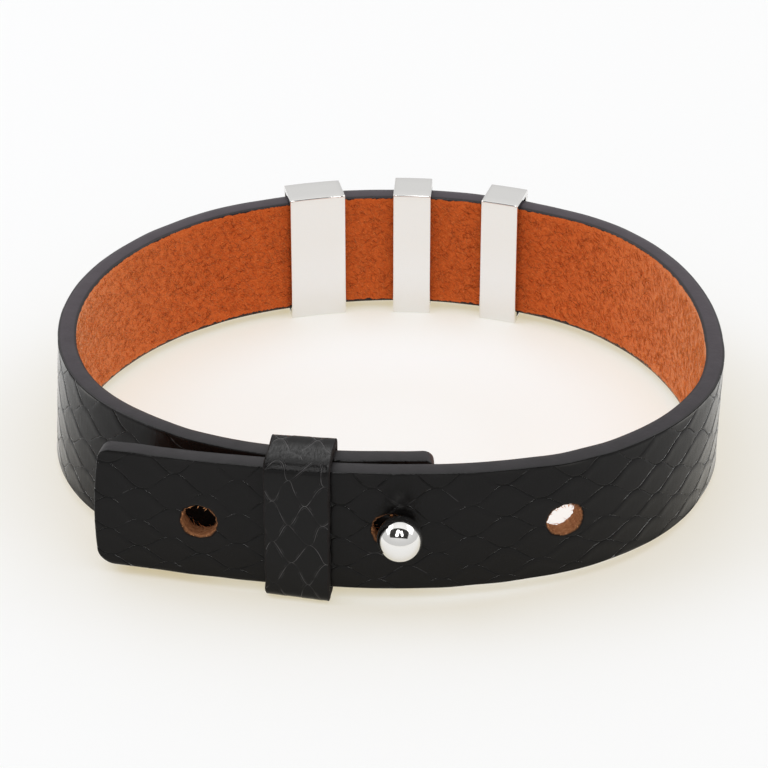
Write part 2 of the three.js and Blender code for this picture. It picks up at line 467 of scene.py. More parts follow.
def make_piece(name, points, faces, finishes, zones=None, stored_values=None):
    """A closed smooth mesh from points in millimetres, with a finish for each zone of faces."""
    mesh = bpy.data.meshes.new(name)
    mesh.from_pydata((np.asarray(points) * MM).tolist(), [], [list(map(int, f)) for f in faces])
    for material in finishes:
        mesh.materials.append(material)
    if zones is not None:
        mesh.polygons.foreach_set("material_index", np.asarray(zones, np.int32))
    for label, values in (stored_values or {}).items():
        layer = mesh.attributes.new(label, "FLOAT_VECTOR", "POINT")
        layer.data.foreach_set("vector", np.asarray(values, np.float32).ravel())
    work = bmesh.new()
    work.from_mesh(mesh)
    bmesh.ops.delete(work, geom=[v for v in work.verts if not v.link_faces], context="VERTS")
    bmesh.ops.recalc_face_normals(work, faces=work.faces)
    if work.calc_volume(signed=True) < 0:
        bmesh.ops.reverse_faces(work, faces=work.faces)
    open_edges = sum(not e.is_manifold for e in work.edges)
    work.to_mesh(mesh)
    work.free()
    mesh.shade_smooth()
    piece = add_object(name, mesh)
    triangles = sum(len(p.vertices) - 2 for p in mesh.polygons)
    print(name, "has", triangles, "triangles and", open_edges, "open edges")
    return piece


# %% [markdown]
# ## The pressed scale pattern
#
# A heated plate presses the scales into the leather. Each row is a line of arches, the next row is
# moved by half a scale, and the valleys of one row touch the tops of the next, so the lines close
# into a net. Rows are tighter towards the lower edge. Real plates are cut by hand, so the net is
# warped a little. The leather is highest just under each arch and falls away below it.

# %% Scale pattern
SCALES = {"pitch": 5.8, "first_column": 112.0, "first_row": 4.5, "row_top": 2.0, "row_bottom": 1.2}
RELIEF = 0.07  # how deep the plate presses


def scale_net(station, across):
    """Column and row of the net at a spot. Rows count downwards, and even rows start at a whole
    column."""
    s = station + 0.5 * soft_noise(station / 6, across / 5, 11)
    v = across + 0.3 * soft_noise(station / 4.5, across / 4, 12)
    width = STRAP["width"]
    change = (SCALES["row_top"] - SCALES["row_bottom"]) / width

    def rows_down(height):
        spacing = SCALES["row_bottom"] + change * (height + width / 2)
        return np.log(SCALES["row_top"] / spacing) / change

    column = (SCALES["first_column"] - s) / SCALES["pitch"]
    return column, rows_down(v) - rows_down(SCALES["first_row"]) + 2


def below_arch(column, row):
    """How many rows a spot lies below the top edge of its own scale."""
    arch = 0.5 - 0.5 * np.cos(2 * np.pi * column)
    u = row % 2
    even = 1 - np.abs(u - 1) > arch
    return np.where(even, u - arch, (u + arch) % 2)


def scale_relief(column, row):
    """0 at the highest spot of a scale, down to -RELIEF between scales."""
    down = below_arch(column, row)
    lip = smooth(np.clip(down / 0.22, 0, 1)) * np.exp(-down / 0.9)
    return -RELIEF * (1 - lip)


print("rows across the strap:", round(float(scale_net(0.0, -6.0)[1] - scale_net(0.0, 6.0)[1]), 1))

# %% [markdown]
# ## Black pressed leather
#
# The outer face is dyed black with a satin finish. The mesh has the broad fall of each scale, but
# the plate's fine cut is too thin for it, so the net is worked out again from the stored column and
# row, and drives the bump and a dark line of painted shade along the cut. In places the cut has
# cracked the dye and shows as a hair-thin pale line. Fine pores lie over everything.

# %% Net lines in a finish
def net_lines(column, row, pitch, row_height):
    """Distance in millimetres to the nearest line of the net, and rows below the scale's edge."""
    turn = column * (2 * math.pi)
    arch = 0.5 - Wire.math("COSINE", turn) * 0.5
    u = Wire.math("FLOORED_MODULO", row, 2.0)
    gap = 1.0 - abs(u - 1.0) - arch
    slope_along = Wire.math("SINE", turn) * (math.pi / pitch)
    slope_across = 1 / row_height
    steepness = Wire.math("SQRT", slope_along * slope_along + slope_across * slope_across)
    even = Wire.math("GREATER_THAN", gap, 0.0)
    below = even * (u - arch) + (1 - even) * Wire.math("FLOORED_MODULO", u + arch, 2.0)
    return abs(gap) / steepness, below


# %% Outer face finish
def pressed_leather_wiring():
    spot = stored("strip")
    column, row, _ = parts_of(stored("net"))
    distance, below = net_lines(column, row, SCALES["pitch"], 1.5)
    worn = noise(spot, 0.42, 3.0, 0.6)
    strength = step_between(0.44, 0.56, worn)
    cut = (1 - step_between(0.02, 0.09, distance)) * strength
    lip = step_between(0.0, 0.16, below) * (1 - step_between(0.16, 0.9, below))
    pale = (1 - step_between(0.0, 0.05, distance)) * step_between(0.66, 0.72, noise(spot, 0.55, 1.0))
    pores = noise(spot, 9.0, 4.0, 0.6)
    cloudy = noise(spot, 0.5, 3.0)
    grain = noise(stretched(spot, 2.4, 0.4, 1.0), 1.2, 3.0)
    height = lip * 0.16 - cut * 0.3 + pores * 0.05 + grain * 0.1 + 0.5
    dye = blend(cloudy, (0.0045, 0.0041, 0.0040), (0.0072, 0.0065, 0.0064))
    # Painted shade: the colour is darkened along the net's cut, where the groove lies in shade.
    dye = blend(cut * 0.9, dye, (0.0014, 0.0012, 0.0012))
    dye = blend(pale * 0.3, dye, (0.12, 0.115, 0.12))
    return principled({
        "Base Color": dye,
        "Roughness": step_between(0.2, 0.8, pores) * 0.07 + grain * 0.14 + 0.13 + cut * 0.25,
        "Specular IOR Level": 0.15,
        "Sheen Weight": 0.8,
        "Sheen Roughness": 0.2,
        "Normal": bumped(height, 0.13, 0.9),
    })


# %% [markdown]
# ## Painted edges
#
# The cut edges are sealed with a thick black paint that dries with a slight swell and a satin
# shine. It is laid on by hand, so its surface is a little uneven. Its colour is a grey-black with
# random patches, painted darker at the sides and the front and lighter at the back as painted
# shade for the light the edges catch, and darker still on the rounding along both borders, partly
# a small seam where the paint meets the faces and partly painted shade.

# %% Edge paint finish
def edge_paint_wiring():
    spot = stored("strip")
    swells = noise(spot, 0.7, 3.0)
    specks = noise(spot, 12.0, 2.0)
    station, _, out = parts_of(spot)
    # Painted shade: darker towards the sides and the front, lighter at the back, with random swells.
    painted_shade_and_polish = step_between(34, 74, abs(station)) * 0.8 + swells * 0.3
    colour = blend(painted_shade_and_polish, (0.056, 0.043, 0.054), (0.0085, 0.0062, 0.008))
    # Painted shade on the rounding along both borders, together with a real seam where the paint meets the
    # faces.
    border_seam_and_shade = step_between(0.56, 0.72, abs(out))
    colour = blend(border_seam_and_shade * 0.8, colour, (0.004, 0.0036, 0.004))
    return principled({
        "Base Color": colour,
        "Roughness": 0.42 + swells * 0.12,
        "Specular IOR Level": 0.5,
        "Normal": bumped(swells * 0.8 + specks * 0.08, 0.09),
    })


# %% [markdown]
# ## Suede
#
# The inner face is the flesh side of the hide, sanded to a short nap and dyed orange-brown. Its
# fibres lie in every direction, so the colour breaks into small lighter and darker strokes. The
# edge paint creeps over its borders in a ragged line. A little sheen stands for the light that a
# nap scatters at grazing angles, and towards the sides of the loop the colour is painted paler as
# painted sheen, for the grazing light the nap catches there.

# %% Suede finish
SUEDE = {"dark": (0.5, 0.082, 0.012), "mid": (0.65, 0.123, 0.02), "light": (0.79, 0.182, 0.038)}


def with_painted_sheen(spot, colour):
    """The colour, painted paler towards the sides of the loop: painted sheen for the grazing light on the
    nap.
    """
    bend = step_between(14, 50, abs(parts_of(spot)[0]))
    return blend(bend * 0.5, colour, (0.95, 0.34, 0.1))


def ragged_border(spot, across):
    """1 where the edge paint has crept over the inner face."""
    teeth = noise(stretched(spot, 1.0, 0.4, 1.0), 1.7, 3.0, 0.65)
    wider_below = Wire.math("LESS_THAN", across, 0.0) * 0.14
    return step_between(-0.03, 0.03, abs(across) + teeth * 0.6 + wider_below - 6.1)


def suede_wiring():
    spot = stored("strip")
    _, across, _ = parts_of(spot)
    leaning = Wire.node("ShaderNodeVectorRotate", {"rotation_type": "Z_AXIS"},
                        {"Vector": spot, "Angle": math.radians(32)})
    strokes = noise(stretched(leaning, 1.0, 3.4, 1.0), 2.4, 3.0, 0.6)
    crossing = noise(stretched(spot, 2.6, 0.9, 1.0), 2.8, 3.0, 0.6)
    patches = noise(spot, 0.16, 2.0)
    shade = step_between(0.3, 0.72, strokes * 0.6 + crossing * 0.4)
    tint = shade * 0.7 + patches * 0.2 + 0.05
    colour = ramp(tint, (0.0, SUEDE["dark"]), (0.5, SUEDE["mid"]), (1.0, SUEDE["light"]))
    painted = ragged_border(spot, across)
    return principled({
        # Painted sheen: paler towards the sides of the loop; the ragged border is real edge paint.
        "Base Color": blend(painted, with_painted_sheen(spot, colour), (0.018, 0.015, 0.017)),
        "Roughness": 0.95 - painted * 0.45,
        "Specular IOR Level": 0.15,
        "Sheen Weight": 0.9,
        "Sheen Roughness": 0.35,
        "Sheen Tint": (1.0, 0.68, 0.46, 1),
        "Normal": bumped(strokes * 0.6 + crossing * 0.4, 0.14),
    })


def nap_wiring():
    """The loose fibres: the suede's own colours, one for each fibre, with the same painted sheen towards the
    sides.
    """
    spot = stored("strip")
    tint = parts_of(spot)[2]
    colour = ramp(
        tint,
        (0.0, (0.38, 0.056, 0.008)),
        (0.5, SUEDE["mid"]),
        (0.9, (0.88, 0.25, 0.06)),
        (1.0, (0.66, 0.36, 0.18)),
    )
    return principled({
        # Painted sheen: paler towards the sides of the loop, as on the suede.
        "Base Color": with_painted_sheen(spot, colour),
        "Roughness": 0.85,
        "Specular IOR Level": 0.15,
        "Sheen Weight": 0.5,
        "Sheen Roughness": 0.35,
        "Sheen Tint": (1.0, 0.54, 0.3, 1),
    })


# %% [markdown]
# ## Punched leather
#
# A punch leaves the wall of a hole raw: pale brown fibres, matted and uneven, black only where
# the dye of the outer face has soaked in.

# %% Raw fibre finish
def raw_fibre_wiring():
    spot = stored("strip")
    matted = noise(spot, 3.2, 4.0, 0.7)
    threads = noise(stretched(spot, 1.0, 1.0, 5.0), 4.0, 3.0, 0.6)
    colour = ramp(
        matted * 0.6 + threads * 0.4,
        (0.25, (0.11, 0.038, 0.013)),
        (0.5, (0.36, 0.15, 0.063)),
        (0.75, (0.66, 0.34, 0.17)),
    )
    dyed = step_between(0.7, 0.8, parts_of(spot)[2])
    colour = blend(dyed, colour, (0.006, 0.0045, 0.004))
    return principled({
        "Base Color": colour,
        "Roughness": 0.9,
        "Specular IOR Level": 0.15,
        "Normal": bumped(matted, 0.2),
    })


pressed_leather = finish("pressed_leather", pressed_leather_wiring)
edge_paint = finish("edge_paint", edge_paint_wiring)
suede = finish("suede", suede_wiring)
nap = finish("suede_nap", nap_wiring)
raw_fibre = finish("raw_fibre", raw_fibre_wiring)

# %% [markdown]
# ## The strap
#
# The strap is a grid: rows of stations along it, and at each station a ring of points that goes
# down the outer face, round the lower edge, up the inner face and over the upper edge. The grid is
# fine, so that the pressed scales are real relief. Both ends have small round corners. A boolean
# would leave slivers round the holes that shade badly, so the grid is opened instead. Rings fill the
# opening: they shrink from its square border to the round hole, go down its wall and grow again.

# %% Strap sizes and sections
GRID = {"step": 0.262, "face_columns": 47, "rings": 4, "wall_rings": 6}
PUNCHED = {"radius": 1.58, "border": 2.4}  # border: half the side of the square a hole sits in
HOLES = [{"at": at, "up": up, **PUNCHED} for at, up in ((72.1, -0.15), (87.25, 0.2), (103.9, -0.3))]
OUTER, PAINTED, INNER, WALL = range(4)  # zones of faces, in the order of the strap's finishes


def strap_stations():
    near = END_CORNER["lower"] * np.array([0, 0.015, 0.05, 0.1, 0.18, 0.3, 0.46, 0.65, 0.83, 1])
    inner, outer = START + near[-1], END - near[-1]
    middle = np.linspace(inner, outer, int((outer - inner) / GRID["step"]))[1:-1]
    return np.concatenate([START + near, middle, END - near[::-1]])


def edge_profile():
    """Round, flat and round again: (how far beyond the face, out) from outer face to inner."""
    r, t = STRAP["round"], half_thickness
    turn = np.radians([25, 55, 90])
    flat = (t - r) * np.array([0.4, -0.4])
    outs = np.concatenate([t - r + r * np.cos(turn), flat, r - t - r * np.cos(turn[::-1])])
    beyond = np.concatenate([r * np.sin(turn), [r, r], r * np.sin(turn[::-1])])
    swell = 0.1 * (1 - (outs / t) ** 2)
    return beyond - 0.06 + swell, outs


def section():
    """Share across, distance beyond the face, and out, for each point of a ring."""
    faces = np.linspace(1, -1, GRID["face_columns"])
    beyond, outs = edge_profile()
    ones, none = np.ones_like(beyond), np.zeros_like(faces)
    share = np.concatenate([faces, -ones, faces[::-1], ones])
    extra = np.concatenate([none, -beyond, none, beyond[::-1]])
    out = np.concatenate([none + half_thickness, outs, none - half_thickness, outs[::-1]])
    return share, extra, out


def cut_back(distance, radius):
    """How much a round corner takes off at a distance from the end."""
    short = np.clip(radius - distance, 0, radius)
    return radius - np.sqrt(radius ** 2 - short ** 2)


def outer_height(station, across):
    """The relief, shallower beside the edges."""
    inside_edge = (half_width - np.abs(across)) / 0.6
    return scale_relief(*scale_net(station, across)) * np.clip(inside_edge, 0.25, 1)


stations = strap_stations()
from_end = np.minimum(stations - START, END - stations)
flat_half = [
    half_width - STRAP["round"] - cut_back(from_end, END_CORNER[side])[:, None]
    for side in ("upper", "lower")
]
thinner = 1 - cut_back(from_end, STRAP["round"]) / half_thickness
share, extra, out = section()
columns = GRID["face_columns"]
edges = (len(share) - 2 * columns) // 2
opposite = 2 * columns + edges - 1  # less a column of the outer face: the inner column behind it
on_outer = np.arange(len(share)) < columns
on_edge = extra != 0

S = np.repeat(stations[:, None], len(share), 1)
V = share * np.where(share > 0, *flat_half) + extra
N = out * thinner[:, None]
bow = 0.012 * (V + 1.5) ** 2 * np.clip((S - END + 6) / 6, 0, 1)  # the tip's cut is slightly curved
wobble = soft_noise(S / 2.5, np.sign(share) * 3, 21) * 0.035
V = V + np.where(on_edge, wobble, wobble * np.abs(share))
N = N + np.where(on_outer, outer_height(S, V), 0) + np.where(on_edge, 0.02 * soft_noise(S / 3, N * 2, 22), 0)
S = S - bow
grid = np.arange(S.size).reshape(S.shape)
print("strap grid:", S.shape)


# %% Strap faces and holes
class Leather:
    """Collects the spots, faces and zones of a piece of flat leather before it is bent."""

    def __init__(self, s, v, n):
        self.spots = [rows_of_three(s, v, n)]
        self.faces = []
        self.zones = []

    def add_ring(self, s, v, n):
        first = sum(len(block) for block in self.spots)
        self.spots.append(rows_of_three(s, v, n))
        return np.arange(first, first + len(s))

    def add_faces(self, faces, zone):
        self.faces.extend(faces)
        self.zones.extend([zone] * len(faces))


def square_border(hole):
    """Rows and columns of the grid that a hole's square opening runs between."""
    i = [int(np.abs(stations - hole["at"] + side * hole["border"]).argmin()) for side in (1, -1)]
    row_v = V[i[0], :columns]
    j = [int(np.abs(row_v - hole["up"] - side * hole["border"]).argmin()) for side in (1, -1)]
    return i, j


def border_loop(i, j):
    """The square's border as (row, column) pairs, once round."""
    top = [(a, j[0]) for a in range(i[0], i[1])]
    right = [(i[1], b) for b in range(j[0], j[1])]
    bottom = [(a, j[1]) for a in range(i[1], i[0], -1)]
    left = [(i[0], b) for b in range(j[1], j[0], -1)]
    return np.array(top + right + bottom + left)


def round_hole(hole, radius, angle):
    """Stations and heights of spots round a hole's centre."""
    return hole["at"] + radius * np.cos(angle), hole["up"] + radius * np.sin(angle)


def punch(leather, hole):
    i, j = square_border(hole)
    loop = border_loop(i, j)
    outer = grid[loop[:, 0], loop[:, 1]]
    inner = grid[loop[:, 0], opposite - loop[:, 1]]
    border_s, border_v = stations[loop[:, 0]], V[loop[:, 0], loop[:, 1]]
    angle = np.arctan2(border_v - hole["up"], border_s - hole["at"])
    ragged = 0.045 * soft_noise(angle * 6 + 40, hole["at"], 31)
    ragged += 0.03 * soft_noise(angle * 17 + 60, hole["at"], 32)

    def between(share_in, face):
        rim_s, rim_v = round_hole(hole, radius, angle)
        s = border_s + share_in * (rim_s - border_s)
        v = border_v + share_in * (rim_v - border_v)
        height = half_thickness + outer_height(s, v) if face > 0 else np.full_like(s, -half_thickness)
        return leather.add_ring(s, v, height)

    radius = hole["radius"] + ragged * 0.5 + 0.02
    steps = [1 - (1 - k / (GRID["rings"] + 1)) ** 1.3 for k in range(1, GRID["rings"] + 1)]
    rings = [outer] + [between(k, 1) for k in steps]
    depths = np.linspace(half_thickness - 0.12, 0.05 - half_thickness, GRID["wall_rings"])
    wall = []
    for k, depth in enumerate(depths):
        rough = 0.05 * soft_noise(angle * 9 + 80, 2.2 * k, 33)
        narrowing = 0.03 if 0 < k < len(depths) - 1 else 0
        wall_s, wall_v = round_hole(hole, hole["radius"] + ragged + rough - narrowing, angle)
        wall.append(leather.add_ring(wall_s, wall_v, np.full_like(angle, depth)))
    back = [between(k, -1) for k in steps[::-1]] + [inner]
    everything = rings + wall + back
    zones = [OUTER] * (len(rings) - 1) + [WALL] * (len(wall) + 1) + [INNER] * (len(back) - 1)
    for zone, first, second in zip(zones, everything, everything[1:]):
        leather.add_faces(rings_to_quads(np.stack([first, second])), zone)
    return i, j


def neck_hole():
    """The stud's own hole in the inner layer, found where the stud's axis meets that layer."""
    centre, _, outwards, upwards = axes_at(STUD["at"])
    start = centre + upwards * STUD["up"]
    candidates = np.linspace(-89, -76, 1301)  # stations under the stud, 0.01 mm apart
    middle, along, _, above = axes_at(candidates)
    apart = middle + above * STUD["up"] - start
    sideways = apart - (apart @ outwards)[:, None] * outwards
    nearest = int(np.linalg.norm(sideways, axis=1).argmin())
    across = STUD["up"] - float(sideways[nearest] @ above[nearest])
    return {"at": candidates[nearest], "up": across, "radius": 0.87, "border": 1.5}


STUD = {"at": 86.45, "up": 0.65, "ball": 2, "stand": 1.98, "neck": 0.6,
        "plate": 2.2, "plate_thickness": 0.7, "plate_gap": 0.2}
LAYER_GAP = 0.42  # between the strap's two layers at the front
leather = Leather(S, V, N)
opened = np.zeros((len(stations) - 1, len(share)), bool)
all_holes = [*HOLES, neck_hole()]
for hole in all_holes:
    i, j = punch(leather, hole)
    opened[i[0]:i[1], j[0]:j[1]] = True
    opened[i[0]:i[1], opposite - j[1]:opposite - j[0]] = True

quads = rings_to_quads(grid)
zone_of_column = np.full(len(share), PAINTED)
zone_of_column[:columns + 1] = OUTER
zone_of_column[-2:] = OUTER
zone_of_column[columns + edges:opposite] = INNER
zone_of_quad = np.tile(zone_of_column, len(stations) - 1)
for zone in (OUTER, PAINTED, INNER):
    keep = (zone_of_quad == zone) & ~opened.ravel()
    leather.add_faces(quads[keep], zone)

for end in (0, len(stations) - 1):
    ring = grid[end]
    caps = [
        (ring[k], ring[k + 1], ring[opposite - k - 1], ring[opposite - k]) for k in range(columns - 1)
    ]
    caps.append(ring[columns - 1:columns + edges + 1])
    caps.append((ring[0], *ring[:opposite:-1], ring[opposite]))
    leather.add_faces(caps, PAINTED)

# %% The strap's mesh
spots = np.concatenate(leather.spots)
strap = make_piece(
    "strap_leather",
    on_strap(*spots.T),
    leather.faces,
    [pressed_leather, edge_paint, suede, raw_fibre],
    leather.zones,
    {"strip": spots, "net": rows_of_three(*scale_net(*spots.T[:2]), 0 * spots[:, 0])},
)
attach(strap, "band")
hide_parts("strap")

# %% [markdown]
# ## The suede's loose fibres
#
# Sanding leaves fibres on the flesh side, matted down in every direction. Each one is a thin closed
# spike that lies almost flat, tapers to a point and lifts a little. They lie lower under the
# sliders, which press them down. Fibres at the rims of the holes are pale.

# %% Fibres
NAP = {"count": 32000, "length": (0.5, 1.1), "width": 0.08, "lift": 0.13, "lift_at_back": 0.1}
NAP_ROOTS = 5.6  # how far from the middle of the strip the suede's fibres are rooted
NAP_TIPS = 5.85  # and how far out their tips may reach
UNDER_SLIDERS = (-16, 17)  # stations
DARK_FIBRES = 0.26  # their share
RIM_FIBRES = 12  # at the outer rim of each hole


def spikes(s, v, direction, length, lift, face):
    """Four corners of a thin spike for each fibre, as spots on the flat strip. face is 1 outside
    and -1 inside."""
    ahead = np.stack([np.cos(direction), np.sin(direction)], -1)
    aside = np.stack([-ahead[:, 1], ahead[:, 0]], -1) * NAP["width"] / 2
    root = np.stack([s, v], -1)
    reach = ahead * length[:, None]
    corners = [root + aside, root - aside, root + reach * 0.35, root + reach]
    root_height, top_height = half_thickness - 0.03, half_thickness + lift
    heights = [face * root_height, face * root_height, face * (root_height + lift), face * top_height]
    return np.stack([
        np.concatenate([corner, np.broadcast_to(height, s.shape)[:, None]], -1)
        for corner, height in zip(corners, heights)
    ], 1)


rng = np.random.default_rng(5)
fibre_s = rng.uniform(START + 2, END - 2, NAP["count"])
fibre_v = rng.uniform(-NAP_ROOTS, NAP_ROOTS, NAP["count"])
clear = np.ones(NAP["count"], bool)
for hole in all_holes:
    apart = np.hypot(fibre_s - hole["at"], fibre_v - hole["up"])
    clear &= apart > hole["radius"] + 0.1
fibre_s, fibre_v = fibre_s[clear], fibre_v[clear]
total = len(fibre_s)
kinds = rng.choice(3, total, p=[0.5, 0.3, 0.2])
direction = np.choose(kinds, [
    rng.normal(-0.75, 0.35, total),
    rng.normal(0.5, 0.4, total),
    rng.uniform(-math.pi, math.pi, total),
])
length = rng.uniform(*NAP["length"], total)
at_back = (fibre_s > UNDER_SLIDERS[0]) & (fibre_s < UNDER_SLIDERS[1])
lift = np.where(at_back, NAP["lift_at_back"], NAP["lift"]) * rng.uniform(0.25, 1, total)
short = np.clip((NAP_TIPS - np.abs(fibre_v + np.sin(direction) * length)) / 0.4, 0.3, 1)
on_suede = spikes(fibre_s, fibre_v, direction, length * short, lift, -1)
tint = np.where(rng.random(total) < DARK_FIBRES, rng.uniform(0, 0.3, total), rng.uniform(0.4, 0.9, total))
at_rims = []
for hole in HOLES:
    angle = rng.uniform(-math.pi, math.pi, RIM_FIBRES)
    rim_s, rim_v = round_hole(hole, hole["radius"] + 0.03, angle)
    inwards = angle + math.pi + rng.normal(0, 0.7, RIM_FIBRES)
    at_rims.append(spikes(rim_s, rim_v, inwards, rng.uniform(0.1, 0.35, RIM_FIBRES), 0.05, 1))
fibres = np.concatenate([on_suede, *at_rims])
tint = np.concatenate([tint, np.ones(len(fibres) - len(tint))])
nap_spots = fibres.reshape(-1, 3)
first = np.arange(len(fibres))[:, None] * 4
nap_faces = np.concatenate([first + f for f in ([0, 1, 2], [0, 2, 3], [1, 3, 2], [0, 3, 1])])
suede_nap = make_piece(
    "suede_nap",
    on_strap(*nap_spots.T),
    nap_faces,
    [nap],
    None,
    {"strip": rows_of_three(*nap_spots.T[:2], np.repeat(tint, 4))},  # the third is the tint
)
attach(suede_nap, "band")

# %% [markdown]
# ## The keeper
#
# The keeper is a short closed loop of thinner, shinier leather round both layers. It is cut from a
# finer print, so it has its own small net with pale worn lines, and handling has polished its upper
# bend in streaks. Its section is a rounded rectangle. At each point of that loop a flat ring goes
# round the leather's own thickness, so the mesh is closed in both directions.

# %% Keeper finish
KEEPER = {"at": 95.15, "width": 5.7, "wall": 0.7, "clearance": 0.2, "corner": 0.9,
          "bore_height": 12.3, "round": 0.13}
KEEPER_NET = {"pitch": 3.2, "row": 2.1}


def keeper_wiring():
    spot = stored("strip")
    column, row, from_shine = parts_of(stored("net"))
    distance, below = net_lines(column, row, KEEPER_NET["pitch"], KEEPER_NET["row"])
    worn = step_between(0.4, 0.6, noise(spot, 0.6, 2.0))
    beside = (1 - step_between(0.0, 0.03, abs(distance - 0.15))) * step_between(0.5, 0.56, noise(spot, 0.9))
    pale = 1 - step_between(0.0, 0.032, distance) + beside * 0.35
    cut = 1 - step_between(0.0, 0.1, distance)
    lip = step_between(0.0, 0.2, below) * (1 - step_between(0.2, 1.0, below))
    creases = noise(stretched(spot, 0.9, 4.0, 1.0), 1.6, 4.0, 0.65)
    # On the keeper this is only the polished band at the bend, for the coat and the creases.
    painted_shade_and_polish = 1 - step_between(0.5, 1.9, from_shine)
    pores = noise(spot, 11.0, 3.0)
    dye = blend(noise(spot, 0.8, 2.0), (0.0028, 0.0025, 0.0024), (0.0046, 0.0041, 0.004))
    dye = blend(pale * worn * 0.7, dye, (0.17, 0.163, 0.165))
    height = lip * 0.1 - cut * 0.12 + creases * (painted_shade_and_polish * 0.9 + 0.2) + pores * 0.06 + 0.5
    return principled({
        "Base Color": dye,
        "Roughness": pores * 0.08 + 0.12,
        "Specular IOR Level": 0.2,
        "Coat Weight": painted_shade_and_polish * step_between(0.36, 0.6, creases) * 0.68,
        "Coat Roughness": 0.2,
        "Normal": bumped(height, 0.14),
    })


def cut_edge_wiring():
    spot = stored("strip")
    threads = noise(stretched(spot, 3.0, 1.0, 3.0), 2.4, 4.0, 0.7)
    return principled({
        "Base Color": blend(threads, (0.006, 0.005, 0.005), (0.022, 0.017, 0.016)),
        "Roughness": 0.75,
        "Specular IOR Level": 0.2,
        "Normal": bumped(threads, 0.16),
    })


keeper_leather = finish("keeper_leather", keeper_wiring)
cut_edge = finish("keeper_edge", cut_edge_wiring)

# %% Keeper mesh
def rounded_loop(depth, height, corner, steps, turns_each=9):
    """Once round a rounded rectangle, with so many steps on its long and short sides: places,
    outward directions and the distance from where it starts, at the top."""
    across, along = depth / 2 - corner, height / 2 - corner
    places, outwards_at = [], []
    centres = [(across, along), (across, -along), (-across, -along), (-across, along)]
    for k, centre in enumerate(centres):
        run = 2 * (across if k % 2 else along)
        turn = math.pi / 2 * (1 - k) - np.linspace(0, math.pi / 2, turns_each)
        ways = np.stack([np.cos(turn), np.sin(turn)], -1)
        places.append(np.array(centre) + corner * ways)
        outwards_at.append(ways)
        share = np.arange(1, steps[k % 2])[:, None] / steps[k % 2]
        after = np.array([ways[-1, 1], -ways[-1, 0]])
        places.append(places[-1][-1] + share * run * after)
        outwards_at.append(np.tile(ways[-1], (steps[k % 2] - 1, 1)))
    places, outwards_at = np.concatenate(places), np.concatenate(outwards_at)
    distance = np.concatenate([[0], np.linalg.norm(np.diff(places, axis=0), axis=1).cumsum()])
    return places, outwards_at, distance


bore = 2 * STRAP["thickness"] + LAYER_GAP + 2 * KEEPER["clearance"]
keeper_depth, keeper_height = bore + 2 * KEEPER["wall"], KEEPER["bore_height"] + 2 * KEEPER["wall"]
outside, ways, run = rounded_loop(keeper_depth, keeper_height, KEEPER["corner"], (44, 12))
inside, _, _ = rounded_loop(bore, KEEPER["bore_height"], KEEPER["corner"] / 4, (44, 12))

half, wall, soft = KEEPER["width"] / 2, KEEPER["wall"], KEEPER["round"]
face_w = np.linspace(half - soft, soft - half, 25)
side_turn = np.radians([30, 60, 90])
side_w = half - soft + soft * np.sin(side_turn)
side_d = soft - soft * np.cos(side_turn)
side_w, side_d = np.append(side_w, side_w[::-1]), np.append(side_d, wall - side_d[::-1])
ring_w = np.concatenate([face_w, -side_w, face_w[::-2], side_w])
ring_d = np.concatenate([0 * face_w, side_d, 0 * face_w[::-2] + wall, side_d[::-1]])
on_face = np.arange(len(ring_w)) < len(face_w)

A = np.repeat(run[:, None], len(ring_w), 1)
W = np.repeat(ring_w[None], len(run), 0)
net_column = (W + 0.5 * soft_noise(A / 3, W / 3, 41)) / KEEPER_NET["pitch"] + 0.35
net_row = (A + 0.4 * soft_noise(A / 2.5, W / 2.5, 42)) / KEEPER_NET["row"]
press = np.where(on_face, 0.04 * (-scale_relief(net_column, net_row) / RELIEF), 0)
from_bend = np.abs(A - 0.7)
from_bend = np.minimum(from_bend, run[-1] + 0.3 - from_bend)
bend_round = 0.2 * np.exp(-(from_bend / 0.8) ** 2)
from_shine = np.minimum(np.abs(A - run[-1] + 0.9), A + 1.2)
low, far = np.clip(0.5 - outside[:, 1:] / keeper_height, 0, 1), 0.5 - W / KEEPER["width"]
bulge = np.clip(ways[:, :1], 0, 1) * (0.08 + 0.45 * low * far)
D = ring_d + press + np.where(on_face, bend_round, 0) - bulge * (1 - ring_d / wall)
W = W + np.sign(W) * 0.06 * soft_noise(A / 0.7, ring_d * 2 + 3, 43) * (np.abs(W) > half - soft - 0.001)

lean = np.interp(KEEPER["at"], LEAN_AT, LEAN)
inwards = (STRAP["thickness"] + LAYER_GAP) / 2
drop = (keeper_height / 2 - KEEPER["corner"]) * math.cos(lean)
drop += (keeper_depth / 2 - KEEPER["corner"]) * math.sin(lean) + KEEPER["corner"]
centre, along, outwards, upwards = axes_at(KEEPER["at"], drop + inwards * math.sin(lean))
centre = centre - inwards * outwards
N_at, V_at = [
    outside[:, k, None] + (inside[:, k, None] - outside[:, k, None]) * D / wall for k in (0, 1)
]
keeper_points = centre + W[..., None] * along + N_at[..., None] * outwards + V_at[..., None] * upwards
keeper_rings = np.arange(A.size).reshape(A.shape)
keeper_zone = np.tile(np.where(on_face & np.roll(on_face, -1), 0, 1), len(run))
keeper = make_piece(
    "keeper",
    keeper_points.reshape(-1, 3),
    rings_to_quads(keeper_rings, closed_ends=True),
    [keeper_leather, cut_edge],
    keeper_zone,
    {"strip": rows_of_three(A, W, D), "net": rows_of_three(net_column, net_row, from_shine)},
)
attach(keeper, "band")
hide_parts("keeper")

# %% [markdown]
# ## Polished metal
#
# The ball stud and the sliders are of one white metal, buffed to a mirror. A buffed surface is never
# quite perfect: it has a very slight wave, and fine scratches that all run roughly the way the
# wheel went. The scratches only change the roughness and the bump a little.

